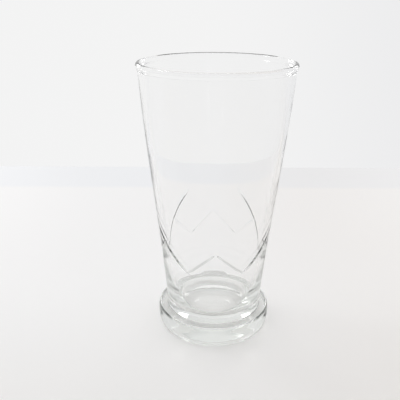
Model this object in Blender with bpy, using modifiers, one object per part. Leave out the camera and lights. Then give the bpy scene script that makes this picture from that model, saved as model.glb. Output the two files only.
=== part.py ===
"""Footed mixing glass: a tapered bowl with mitre cuts and a beaded rim, fused to a rounded solid foot.

Metres, +Z up. The origin is the centre of the foot's underside, and +Z is the turning axis.
"""

import math

import bmesh
import bpy

# ---- driving dimensions, in metres ----
HEIGHT = 0.161  # table to the top of the rim
RIM_R = 0.0445  # outside of the rim bead: a 3.5 inch mouth that seats a shaker tin
BEAD_H = 0.0036  # height of the rim bead
BEAD_T = 0.0031  # thickness of the rim bead
NECK_R = 0.0434  # outside of the wall just under the bead
WAIST_R = 0.0289  # outside of the wall where it meets the foot
WAIST_Z = 0.0140
S_CURVE = 0.35  # how much the taper eases at its two ends
WALL_TOP = 0.0021  # wall under the bead
WALL_LOW = 0.0038  # wall where the inside starts to round over
INNER_ROUND_Z = 0.048  # height at which the inside leaves the wall
FLOOR_Z = 0.0152  # inside floor at its rounded edge
FLOOR_R = 0.0200
FLOOR_DIP = 0.0004  # the floor is lower at its centre
ROUND_LOW = (0.0222, 0.0152)  # shape the curve from floor to wall
ROUND_HIGH = (0.0252, 0.0210)
BASE_Z = 0.0120  # underside of the bowl, on the foot
BASE_R = 0.0283

FOOT_TOP_Z = 0.0117  # face that the bowl is fused to
SHOULDER_R = 0.0318  # the foot's shoulder starts to round over here
SHOULDER_Z = 0.0130
FOOT_R = 0.0344  # widest part of the foot
FOOT_WIDE_Z = 0.0080
FOOT_FLAT_R = 0.0318  # outer edge of the ring that touches the table
PUNT_R = 0.0240  # shallow hollow under the foot
PUNT_H = 0.0020

CUT_COUNT = 6  # cuts in each direction
CUT_LOW_Z = 0.0465  # lowest points of the zigzag
CUT_ROW_H = 0.0145  # height of the zigzag
LONG_CUTS = {"right": (0, 1), "left": (4, 5)}  # these run on for one more row
CUT_HALF_W = 0.0011  # half width of a mitre cut at the surface
CUT_DEPTH = {"right": 0.00046, "left": 0.00043}  # the second set is cut a little shallower
TURN_STEPS = 60


def clear_scene():
    for obj in list(bpy.data.objects):
        bpy.data.objects.remove(obj, do_unlink=True)
    for group in (bpy.data.meshes, bpy.data.materials, bpy.data.cameras, bpy.data.lights):
        for block in list(group):
            group.remove(block)


def collection(name):
    made = bpy.data.collections.new(name)
    bpy.context.scene.collection.children.link(made)
    return made


def glass(name, colour):
    mat = bpy.data.materials.new(name)
    mat.use_nodes = True
    shader = mat.node_tree.nodes["Principled BSDF"]
    shader.inputs["Base Color"].default_value = (*colour, 1.0)
    shader.inputs["Roughness"].default_value = 0.02
    shader.inputs["Metallic"].default_value = 0.0
    shader.inputs["IOR"].default_value = 1.52
    shader.inputs["Transmission Weight"].default_value = 1.0
    return mat


# ---- profile helpers ----
def bezier(p0, p1, p2, p3, count):
    """Points on a cubic from p0 to p3, both ends included."""
    out = []
    for i in range(count + 1):
        t = i / count
        a, b, c, d = (1 - t) ** 3, 3 * t * (1 - t) ** 2, 3 * t * t * (1 - t), t**3
        out.append(
            (
                a * p0[0] + b * p1[0] + c * p2[0] + d * p3[0],
                a * p0[1] + b * p1[1] + c * p2[1] + d * p3[1],
            )
        )
    return out


def arc(cx, cz, rx, rz, start, end, count):
    out = []
    for i in range(count + 1):
        a = math.radians(start + (end - start) * i / count)
        out.append((cx + rx * math.cos(a), cz + rz * math.sin(a)))
    return out


def outer_radius(z):
    """Outside of the wall: a straight taper whose ends ease into the bead and the waist."""
    top = HEIGHT - BEAD_H
    u = min(max((z - WAIST_Z) / (top - WAIST_Z), 0.0), 1.0)
    s = (1 - S_CURVE) * u + S_CURVE * (3 * u * u - 2 * u**3)
    return WAIST_R + (NECK_R - WAIST_R) * s


def wall(z):
    top = HEIGHT - BEAD_H
    u = min(max((z - INNER_ROUND_Z) / (top - INNER_ROUND_Z), 0.0), 1.0)
    return WALL_LOW + (WALL_TOP - WALL_LOW) * u**0.6


def inner_radius(z):
    return outer_radius(z) - wall(z)


def bowl_profile():
    """Down the outside from the axis at the top of the floor round to the axis under the base."""
    bead_low = HEIGHT - BEAD_H
    bead_cx = RIM_R - BEAD_T / 2
    bead_cz = HEIGHT - BEAD_H / 2
    inside = []
    inside.append((0.0, FLOOR_Z - FLOOR_DIP))
    for i in range(1, 4):
        r = FLOOR_R * i / 3
        inside.append((r, FLOOR_Z - FLOOR_DIP * (1 - (r / FLOOR_R) ** 2)))
    inside.pop()
    r_in = inner_radius(INNER_ROUND_Z)
    inside += bezier((FLOOR_R, FLOOR_Z), ROUND_LOW, ROUND_HIGH, (r_in, INNER_ROUND_Z), 9)
    levels = 5
    for i in range(1, levels + 1):
        z = INNER_ROUND_Z + (bead_low - 0.0008 - INNER_ROUND_Z) * i / levels
        inside.append((inner_radius(z), z))
    bead = arc(bead_cx, bead_cz, BEAD_T / 2, BEAD_H / 2, 200, -60, 10)
    outside = []
    levels = 17
    for i in range(levels + 1):
        z = bead_low - 0.0006 + (WAIST_Z - (bead_low - 0.0006)) * i / levels
        outside.append((outer_radius(z), z))
    base = [
        (WAIST_R, BASE_Z + 0.0006),
        (BASE_R + 0.0002, BASE_Z + 0.00012),
        (BASE_R - 0.0003, BASE_Z),
        (0.0, BASE_Z),
    ]
    return inside + bead + outside + base


def foot_profile():
    """From the axis on the fused face, out over the roll and down to the underside's centre."""
    pts = [(0.0, FOOT_TOP_Z), (BASE_R + 0.0004, FOOT_TOP_Z)]
    pts += bezier(
        (BASE_R + 0.0011, FOOT_TOP_Z + 0.0006),
        (BASE_R + 0.0012, SHOULDER_Z - 0.0002),
        (SHOULDER_R - 0.0010, SHOULDER_Z),
        (SHOULDER_R, SHOULDER_Z),
        4,
    )
    pts += bezier(
        (SHOULDER_R, SHOULDER_Z),
        (SHOULDER_R + 0.0019, SHOULDER_Z),
        (FOOT_R, SHOULDER_Z - 0.0009),
        (FOOT_R, FOOT_WIDE_Z),
        9,
    )[1:]
    pts += bezier(
        (FOOT_R, FOOT_WIDE_Z),
        (FOOT_R, 0.0028),
        (FOOT_FLAT_R + 0.0016, 0.0),
        (FOOT_FLAT_R, 0.0),
        8,
    )[1:]
    pts += [(PUNT_R, 0.0)]
    for i in range(1, 5):
        r = PUNT_R * (1 - i / 5)
        pts.append((r, PUNT_H * (1 - (r / PUNT_R) ** 2)))
    pts.append((0.0, PUNT_H))
    return pts


def turned(name, profile, where, material):
    """A solid of revolution: the profile's edges, turned by a Screw modifier."""
    mesh = bpy.data.meshes.new(name)
    mesh.from_pydata(
        [(r, 0.0, z) for r, z in profile],
        [(i, i + 1) for i in range(len(profile) - 1)],
        [],
    )
    obj = bpy.data.objects.new(name, mesh)
    where.objects.link(obj)
    mesh.materials.append(material)
    screw = obj.modifiers.new("turn", "SCREW")
    screw.axis = "Z"
    screw.angle = math.radians(360)
    screw.steps = TURN_STEPS
    screw.render_steps = TURN_STEPS
    screw.use_merge_vertices = True
    screw.merge_threshold = 0.00001
    screw.use_smooth_shade = True
    return obj


def mitre_cutter(name, start_deg, direction, full_depth, rows, steps, where):
    """A wedge swept along one cut: it climbs the wall from its low end to its high end."""
    turn = math.radians(180 / CUT_COUNT) * rows
    rise = CUT_ROW_H * rows
    bm = bmesh.new()
    rings = []
    for i in range(-1, steps + 2):
        t = i / steps
        z = CUT_LOW_Z + rise * t
        a = math.radians(start_deg) + direction * turn * t
        r = outer_radius(z)
        # the cut fades out over its last few millimetres
        end = min(1.0, (t * rise + 0.0013) / 0.0030, ((1 - t) * rise + 0.0013) / 0.0030)
        depth = full_depth * max(end, -0.6)
        slope = (outer_radius(z + 0.001) - outer_radius(z - 0.001)) / 0.002
        out = (math.cos(a), math.sin(a), -slope)
        # unit vector across the cut, in the wall's surface
        along = (-r * turn * direction * math.sin(a), r * turn * direction * math.cos(a), rise)
        size = math.sqrt(sum(v * v for v in along))
        along = tuple(v / size for v in along)
        across = (
            out[1] * along[2] - out[2] * along[1],
            out[2] * along[0] - out[0] * along[2],
            out[0] * along[1] - out[1] * along[0],
        )
        centre = (r * math.cos(a), r * math.sin(a), z)
        lift = 0.0012
        half = CUT_HALF_W * (1 + lift / full_depth)
        drop = full_depth - depth
        ring = []
        for side, out_by in ((0.0, -depth), (half, lift + drop), (-half, lift + drop)):
            ring.append(
                bm.verts.new(
                    tuple(c + side * x + out_by * o for c, x, o in zip(centre, across, out))
                )
            )
        rings.append(ring)
    for low, high in zip(rings, rings[1:]):
        for j in range(3):
            k = (j + 1) % 3
            bm.faces.new((low[j], low[k], high[k], high[j]))
    bm.faces.new(rings[0])
    bm.faces.new(rings[-1])
    bmesh.ops.recalc_face_normals(bm, faces=bm.faces)
    mesh = bpy.data.meshes.new(name)
    bm.to_mesh(mesh)
    bm.free()
    obj = bpy.data.objects.new(name, mesh)
    where.objects.link(obj)
    obj.hide_render = True
    obj.display_type = "WIRE"
    return obj


def main():
    clear_scene()
    parts = collection("mixing_glass")
    cutters = collection("cutters")
    bowl_glass = glass("bowl_glass", (0.93, 0.97, 0.95))
    foot_glass = glass("foot_glass", (0.90, 0.96, 0.93))

    bowl = turned("bowl", bowl_profile(), parts, bowl_glass)
    foot = turned("foot", foot_profile(), parts, foot_glass)

    # mitre cuts climb to right and left from each low point and meet in a zigzag round the bowl
    for direction, hand, steps in ((1, "right", 6), (-1, "left", 7)):
        for i in range(CUT_COUNT):
            start = -90 + 360 / CUT_COUNT * (i + 0.5)
            rows = 2 if i in LONG_CUTS[hand] else 1
            cutter = mitre_cutter(
                f"cut_{hand}_{i + 1}", start, direction, CUT_DEPTH[hand], rows, steps * rows, cutters
            )
            cut = bowl.modifiers.new(cutter.name, "BOOLEAN")
            cut.operation = "DIFFERENCE"
            cut.object = cutter
            cut.solver = "EXACT"

    for obj in (bowl, foot):
        obj.data.shade_smooth()
    return bowl, foot


main()
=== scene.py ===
"""Footed mixing glass on a pale table: the looks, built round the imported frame."""

import math

import bpy
from mathutils import Matrix, Vector


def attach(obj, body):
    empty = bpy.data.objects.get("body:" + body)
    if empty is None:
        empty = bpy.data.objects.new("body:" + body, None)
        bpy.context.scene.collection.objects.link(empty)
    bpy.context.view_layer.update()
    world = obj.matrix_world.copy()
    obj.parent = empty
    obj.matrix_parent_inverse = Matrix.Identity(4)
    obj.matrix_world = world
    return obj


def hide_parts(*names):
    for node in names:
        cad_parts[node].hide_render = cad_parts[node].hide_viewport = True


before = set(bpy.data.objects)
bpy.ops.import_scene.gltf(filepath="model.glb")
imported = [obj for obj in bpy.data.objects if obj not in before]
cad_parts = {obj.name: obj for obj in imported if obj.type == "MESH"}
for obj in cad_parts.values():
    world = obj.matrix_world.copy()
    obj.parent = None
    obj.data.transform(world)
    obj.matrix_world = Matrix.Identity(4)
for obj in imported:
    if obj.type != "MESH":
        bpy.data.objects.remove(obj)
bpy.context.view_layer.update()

# ---- sizes in millimetres, as in the solid model ----
HEIGHT = 161.0
RIM_R, BEAD_H, BEAD_T = 44.5, 3.6, 3.1
NECK_R, WAIST_R, WAIST_Z = 43.4, 28.9, 14.0
NECK_Z = 154.4
S_CURVE = 0.35
WALL_TOP, WALL_LOW, INNER_ROUND_Z = 2.1, 3.8, 48.0
FLOOR_Z, FLOOR_R, FLOOR_DIP = 15.2, 20.0, 0.4
ROUND_LOW, ROUND_HIGH = (22.2, 15.2), (25.2, 21.0)  # shape the curve from floor to wall
CREASE_Z = 13.1
SHOULDER_R, SHOULDER_Z = 32.7, 12.9
FOOT_R, FOOT_WIDE_Z, FOOT_FLAT_R = 34.4, 8.0, 31.8
PUNT_R, PUNT_H = 24.0, 2.0

CUTS = 6  # mitre cuts in each direction
ROW = 14.5  # height from one row of crossings to the next
PITCH = 2 * ROW
CROSS_Z = 61.0  # the peaks of the zigzag, one of them at the front
SLOPE = CUTS * PITCH / 360  # climb of a cut, mm per degree
LONG = {"left": (5, 4), "right": (1, 2)}  # these cuts run on for one more row
CUT_W, CUT_D = 1.15, 0.45


# ---- colours ----
TABLE_MID = (0.925, 0.92, 0.915)
# painted shade: the table's far end in shadow, cooler and darker
TABLE_FAR_SHADE = (0.88, 0.89, 0.905)
# painted shade: the near side of the table darker and warmer, where less light reaches
TABLE_NEAR_SHADE = (0.86, 0.85, 0.835)
# painted shade: the table darker and warmer towards the right, away from the light
TABLE_RIGHT_SHADE = (0.97, 0.955, 0.94)


# ---- profiles ----
def outer_radius(z):
    top = HEIGHT - BEAD_H
    u = min(max((z - WAIST_Z) / (top - WAIST_Z), 0.0), 1.0)
    s = (1 - S_CURVE) * u + S_CURVE * (3 * u * u - 2 * u**3)
    return WAIST_R + (NECK_R - WAIST_R) * s


def inner_radius(z):
    top = HEIGHT - BEAD_H
    u = min(max((z - INNER_ROUND_Z) / (top - INNER_ROUND_Z), 0.0), 1.0)
    return outer_radius(z) - (WALL_LOW + (WALL_TOP - WALL_LOW) * u**0.6)


def bezier(p0, p1, p2, p3, count):
    out = []
    for i in range(count + 1):
        t = i / count
        a, b, c, d = (1 - t) ** 3, 3 * t * (1 - t) ** 2, 3 * t * t * (1 - t), t**3
        out.append(tuple(a * w + b * x + c * y + d * z for w, x, y, z in zip(p0, p1, p2, p3)))
    return out


def inside_profile():
    """From the floor's centre up the inside to the rim bead's inner edge."""
    pts = []
    for i in range(9):
        r = FLOOR_R * i / 8
        pts.append((r, FLOOR_Z - FLOOR_DIP * (1 - (r / FLOOR_R) ** 2)))
    pts += bezier(
        (FLOOR_R, FLOOR_Z),
        ROUND_LOW,
        ROUND_HIGH,
        (inner_radius(INNER_ROUND_Z), INNER_ROUND_Z),
        40,
    )[1:]
    top = HEIGHT - BEAD_H - 0.8
    steps = 40
    for i in range(1, steps + 1):
        z = INNER_ROUND_Z + (top - INNER_ROUND_Z) * i / steps
        pts.append((inner_radius(z), z))
    return pts


def bead_profile():
    cx, cz = RIM_R - BEAD_T / 2, HEIGHT - BEAD_H / 2
    out = []
    for i in range(25):
        a = math.radians(205 - 245 * i / 24)
        out.append((cx + BEAD_T / 2 * math.cos(a), cz + BEAD_H / 2 * math.sin(a)))
    # the bead's underside flows into the wall
    r, z = out[-1]
    out += bezier((r, z), (r - 0.7, z - 0.97), (outer_radius(NECK_Z) + 0.1, NECK_Z + 1.3), (outer_radius(NECK_Z), NECK_Z), 10)[1:]
    return out


def foot_profile():
    """From the bowl's low end, through the crease and round the foot to the underside's centre."""
    pts = []
    for i in range(11):
        z = CROSS_Z - 2 * ROW - (CROSS_Z - 2 * ROW - WAIST_Z) * (i + 1) / 11
        pts.append((outer_radius(z), z))
    pts += [(WAIST_R, CREASE_Z + 0.5), (WAIST_R + 0.03, CREASE_Z + 0.25)]
    pts += [(WAIST_R + 0.15, CREASE_Z + 0.03), (WAIST_R + 0.4, CREASE_Z - 0.05)]
    pts += bezier(
        (SHOULDER_R, SHOULDER_Z),
        (SHOULDER_R + 1.3, SHOULDER_Z),
        (FOOT_R, SHOULDER_Z - 0.9),
        (FOOT_R, FOOT_WIDE_Z),
        22,
    )
    pts += bezier(
        (FOOT_R, FOOT_WIDE_Z), (FOOT_R, 2.8), (FOOT_FLAT_R + 1.6, 0.0), (FOOT_FLAT_R, 0.0), 14
    )[1:]
    pts += [(FOOT_FLAT_R - 3.5, 0.0), (PUNT_R + 3.5, 0.0), (PUNT_R + 0.6, 0.0)]
    for i in range(9):
        r = PUNT_R * (1 - i / 9)
        pts.append((r, PUNT_H * (1 - (r / PUNT_R) ** 2)))
    return pts


# ---- the lattice of cuts ----
def cut_lines():
    """Positions of grid lines across one pitch of cuts, close together near the cut at 0."""
    fine = [0.0, 0.19, 0.45, 0.83, 1.22, 1.50, 1.85]
    coarse = 11
    half = fine + [fine[-1] + (ROW - fine[-1]) * (i + 1) / coarse for i in range(coarse)]
    return half + [PITCH - v for v in reversed(half[1:-1])]


LINES = cut_lines()
N = len(LINES)
COLS = CUTS * N


def line_at(i):
    return PITCH * (i // N) + LINES[i % N]


def one_cut(offset, z, radius, long_ones):
    """Depth of one family of cuts at a point, from its climb offset to the nearest cut."""
    number = round(offset / PITCH)
    high = CROSS_Z + (ROW if number % CUTS in long_ones else 0.0)
    across = abs(offset - PITCH * number) * math.cos(math.atan(SLOPE / math.radians(radius)))
    ends = min(1.0, (z - (CROSS_Z - ROW) + 1.3) / 3.0, (high + 1.3 - z) / 3.0)
    if ends <= 0:
        return 0.0
    depth = CUT_D * ends
    x = depth - CUT_D * math.sqrt(across**2 + 0.14**2) / CUT_W
    return (x + math.sqrt(x * x + 0.05**2)) / 2 - 0.0004


def cut_depth(u, v, z, radius):
    a = one_cut(u, z, radius, LONG["left"])
    b = one_cut(v, z, radius, tuple(-k % CUTS for k in LONG["right"]))
    return max(a, b, 0.0) if max(a, b) > 0.003 else 0.0


def glass_mesh():
    verts, faces = [], []
    angles = [math.radians(line_at(k) / SLOPE) for k in range(COLS)]

    def point(r, phi, z):
        # phi is 0 towards -Y and grows towards +X
        verts.append((r * math.sin(phi) / 1000, -r * math.cos(phi) / 1000, z / 1000))
        return len(verts) - 1

    def ring(r, z):
        if r < 1e-6:
            return [point(0.0, 0.0, z)] * COLS
        return [point(r, a, z) for a in angles]

    def join(upper, lower):
        """Faces between two rings whose surface faces away from the glass when upper comes first."""
        for k in range(COLS):
            q = (k + 1) % COLS
            loop = []
            for p in (upper[k], lower[k], lower[q], upper[q]):
                if p not in loop:
                    loop.append(p)
            faces.append(loop)

    # the inside and the bead, walked from the floor's centre to the bead's outer foot
    chain = [ring(r, z) for r, z in inside_profile() + bead_profile()]
    # the plain wall above the cuts
    high_z = CROSS_Z + 2 * ROW
    steps = 36
    for i in range(1, steps):
        z = NECK_Z + (high_z - NECK_Z) * i / steps
        chain.append(ring(outer_radius(z), z))

    # the cut band, on a diamond grid whose lines run along the cuts
    rows = {}
    for r in range(-2 * N, 2 * N + 1):
        for c in range(0, 12 * N):
            if (r + c) % 2:
                continue
            i, j = (r + c) // 2, (r - c) // 2
            u, v = line_at(i), line_at(j)
            z = CROSS_Z + (u + v) / 2
            phi = math.radians((u - v) / (2 * SLOPE))
            radius = outer_radius(z)
            rows[r, c] = point(radius - cut_depth(u, v, z, radius), phi, z)
    chain.append([rows[2 * N, 2 * k] for k in range(COLS)])
    for upper, lower in zip(chain, chain[1:]):
        join(upper, lower)
    wrap = 12 * N
    for r in range(-2 * N, 2 * N + 1):
        for c in range(wrap):
            if (r + c) % 2 == 0:
                continue
            right, left = rows[r, (c + 1) % wrap], rows[r, (c - 1) % wrap]
            loop = [rows.get((r + 1, c)), left, rows.get((r - 1, c)), right]
            faces.append([p for p in loop if p is not None])

    # below the cuts: the thick bottom, the crease, the foot and its underside
    low = [[rows[-2 * N, 2 * k] for k in range(COLS)]]
    low += [ring(r, z) for r, z in foot_profile()]
    low.append(ring(0.0, PUNT_H))
    for upper, lower in zip(low, low[1:]):
        join(upper, lower)

    mesh = bpy.data.meshes.new("glass_body")
    mesh.from_pydata(verts, [], faces)
    mesh.validate()
    mesh.update()
    return mesh


# ---- materials ----
def glass_material():
    mat = bpy.data.materials.new("clear_glass")
    mat.use_nodes = True
    nt = mat.node_tree
    shader = nt.nodes["Principled BSDF"]
    shader.inputs["Base Color"].default_value = (1.0, 1.0, 1.0, 1.0)
    shader.inputs["Metallic"].default_value = 0.0
    shader.inputs["IOR"].default_value = 1.52
    shader.inputs["Transmission Weight"].default_value = 1.0
    coords = nt.nodes.new("ShaderNodeTexCoord")
    # handling marks: faint patches where the polish is a little dulled
    smear = nt.nodes.new("ShaderNodeTexNoise")
    smear.inputs["Scale"].default_value = 28.0
    smear.inputs["Detail"].default_value = 5.0
    smear.inputs["Roughness"].default_value = 0.6
    nt.links.new(coords.outputs["Object"], smear.inputs["Vector"])
    rough = nt.nodes.new("ShaderNodeMapRange")
    rough.inputs["From Min"].default_value = 0.45
    rough.inputs["From Max"].default_value = 0.8
    rough.inputs["To Min"].default_value = 0.0
    rough.inputs["To Max"].default_value = 0.05
    nt.links.new(smear.outputs["Fac"], rough.inputs["Value"])
    nt.links.new(rough.outputs["Result"], shader.inputs["Roughness"])
    # slow ripples that pressed glass keeps from its mould
    ripple = nt.nodes.new("ShaderNodeTexNoise")
    ripple.inputs["Scale"].default_value = 55.0
    ripple.inputs["Detail"].default_value = 1.5
    nt.links.new(coords.outputs["Object"], ripple.inputs["Vector"])
    bump = nt.nodes.new("ShaderNodeBump")
    bump.inputs["Strength"].default_value = 0.35
    bump.inputs["Distance"].default_value = 0.0002
    nt.links.new(ripple.outputs["Fac"], bump.inputs["Height"])
    nt.links.new(bump.outputs["Normal"], shader.inputs["Normal"])
    tint = nt.nodes.new("ShaderNodeVolumeAbsorption")
    tint.inputs["Color"].default_value = (0.71, 0.74, 0.70, 1.0)
    tint.inputs["Density"].default_value = 9.0
    nt.links.new(tint.outputs["Volume"], nt.nodes["Material Output"].inputs["Volume"])
    return mat


def mix(nt, kind, a, b, fac=None):
    """A colour mix node: fac blends, and with no fac the two are multiplied."""
    node = nt.nodes.new("ShaderNodeMix")
    node.data_type = "RGBA"
    node.blend_type = kind
    node.inputs["Factor"].default_value = 1.0
    for name, value in (("A", a), ("B", b)):
        socket = next(i for i in node.inputs if i.name == name and i.type == "RGBA")
        if isinstance(value, tuple):
            socket.default_value = (*value, 1.0)
        else:
            nt.links.new(value, socket)
    if fac is not None:
        nt.links.new(fac, node.inputs["Factor"])
    return next(o for o in node.outputs if o.type == "RGBA")


def spread(nt, value, low, high, out_low=0.0, out_high=1.0):
    node = nt.nodes.new("ShaderNodeMapRange")
    node.interpolation_type = "SMOOTHSTEP"
    node.inputs["From Min"].default_value = low
    node.inputs["From Max"].default_value = high
    node.inputs["To Min"].default_value = out_low
    node.inputs["To Max"].default_value = out_high
    nt.links.new(value, node.inputs["Value"])
    return node.outputs["Result"]


def table_material():
    """Pale painted board, its colour holding painted shade: a little cooler and darker at its far end,
    a little warmer and darker up close and towards the right.
    """
    mat = bpy.data.materials.new("table_top")
    mat.use_nodes = True
    nt = mat.node_tree
    shader = nt.nodes["Principled BSDF"]
    coords = nt.nodes.new("ShaderNodeTexCoord")
    split = nt.nodes.new("ShaderNodeSeparateXYZ")
    nt.links.new(coords.outputs["Object"], split.inputs["Vector"])
    noise = nt.nodes.new("ShaderNodeTexNoise")
    noise.inputs["Scale"].default_value = 7.0
    noise.inputs["Detail"].default_value = 4.0
    nt.links.new(coords.outputs["Object"], noise.inputs["Vector"])
    # painted shade: a cooler, darker band along the table's far end
    far_shade = spread(nt, split.outputs["Y"], 0.238, 0.25)
    # painted shade: the table darkens towards the camera
    near_shade = spread(nt, split.outputs["Y"], 0.05, -0.12)
    # painted shade: the table darkens towards the right
    right = spread(nt, split.outputs["X"], -0.02, 0.12)
    colour = mix(nt, "MIX", TABLE_MID, TABLE_FAR_SHADE, far_shade)
    colour = mix(nt, "MIX", colour, TABLE_NEAR_SHADE, near_shade)
    colour = mix(nt, "MULTIPLY", colour, TABLE_RIGHT_SHADE, right)
    colour = mix(nt, "MULTIPLY", colour, (0.985, 0.98, 0.975), noise.outputs["Fac"])
    nt.links.new(colour, shader.inputs["Base Color"])
    shader.inputs["Roughness"].default_value = 0.55
    return mat


# ---- the glass ----
body_mesh = glass_mesh()
body_mesh.materials.append(glass_material())
body_mesh.shade_smooth()
glass_body = bpy.data.objects.new("glass_body", body_mesh)
bpy.context.scene.collection.objects.link(glass_body)
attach(glass_body, "root")
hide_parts("bowl", "foot")

# ---- the table: it ends a short way behind the glass ----
floor_mesh = bpy.data.meshes.new("table")
X, NEAR, FAR = 3.0, -3.0, 0.313
LOW = -0.0002  # a hair under the foot, as a hard foot on a hard table leaves air between them
floor_mesh.from_pydata(
    [(-X, NEAR, LOW), (X, NEAR, LOW), (X, FAR, LOW), (-X, FAR, LOW)], [], [(0, 1, 2, 3)]
)
floor_mesh.materials.append(table_material())
table = bpy.data.objects.new("table", floor_mesh)
bpy.context.scene.collection.objects.link(table)

# ---- soft light from all round ----
world = bpy.data.worlds.new("studio")
bpy.context.scene.world = world
world.use_nodes = True
wt = world.node_tree
background = wt.nodes["Background"]
coords = wt.nodes.new("ShaderNodeTexCoord")
split = wt.nodes.new("ShaderNodeSeparateXYZ")
wt.links.new(coords.outputs["Generated"], split.inputs["Vector"])
# bright behind the glass and overhead, duller behind the camera and to the right
behind = mix(
    wt, "MIX", (0.8, 0.8, 0.81), (1.0, 1.0, 1.0), spread(wt, split.outputs["Y"], -0.8, 0.35)
)
over = mix(wt, "MIX", (1.0, 1.0, 1.0), (1.12, 1.12, 1.12), spread(wt, split.outputs["Z"], 0.35, 0.95))
aside = mix(wt, "MIX", (1.0, 1.0, 1.0), (0.93, 0.93, 0.94), spread(wt, split.outputs["X"], 0.0, 0.45))
wt.links.new(mix(wt, "MULTIPLY", mix(wt, "MULTIPLY", behind, over), aside), background.inputs["Color"])
background.inputs["Strength"].default_value = 0.9


def area_light(name, place, aim, width, height, power, colour=(1, 1, 1)):
    data = bpy.data.lights.new(name, "AREA")
    data.shape = "RECTANGLE"
    data.size, data.size_y = width, height
    data.energy = power
    data.color = colour
    obj = bpy.data.objects.new(name, data)
    obj.location = place
    obj.rotation_euler = (Vector(aim) - Vector(place)).to_track_quat("-Z", "Y").to_euler()
    bpy.context.scene.collection.objects.link(obj)
    return obj


area_light("soft_key", (-0.9, 0.5, 1.3), (0, 0, 0.08), 0.25, 0.25, 1.5)
area_light("back_left", (-0.75, 1.5, 0.62), (0, 0, 0.03), 0.28, 0.28, 1.4)
area_light("back_right", (0.75, 1.5, 0.62), (0, 0, 0.03), 0.28, 0.28, 1.1)

# ---- camera ----
cam_data = bpy.data.cameras.new("camera")
cam_data.sensor_fit = "HORIZONTAL"
cam_data.sensor_width = 36.0
cam_data.lens = 560.0 / 400.0 * 36.0
camera = bpy.data.objects.new("camera", cam_data)
pitch, roll = math.radians(21.18), math.radians(0.31)
turn = Matrix.Rotation(math.pi / 2 - pitch, 4, "X") @ Matrix.Rotation(roll, 4, "Z")
camera.matrix_world = Matrix.Translation((-0.00884, -0.31089, HEIGHT / 1000 + 0.03953)) @ turn
bpy.context.scene.collection.objects.link(camera)
bpy.context.scene.camera = camera
bpy.context.scene.view_settings.view_transform = "Standard"

# light goes to and fro many times inside thick glass before it leaves
paths = bpy.context.scene.cycles
paths.max_bounces = 32
paths.transmission_bounces = 32
paths.glossy_bounces = 16
paths.diffuse_bounces = 8
paths.blur_glossy = 0.0
paths.caustics_refractive = True
paths.caustics_reflective = True
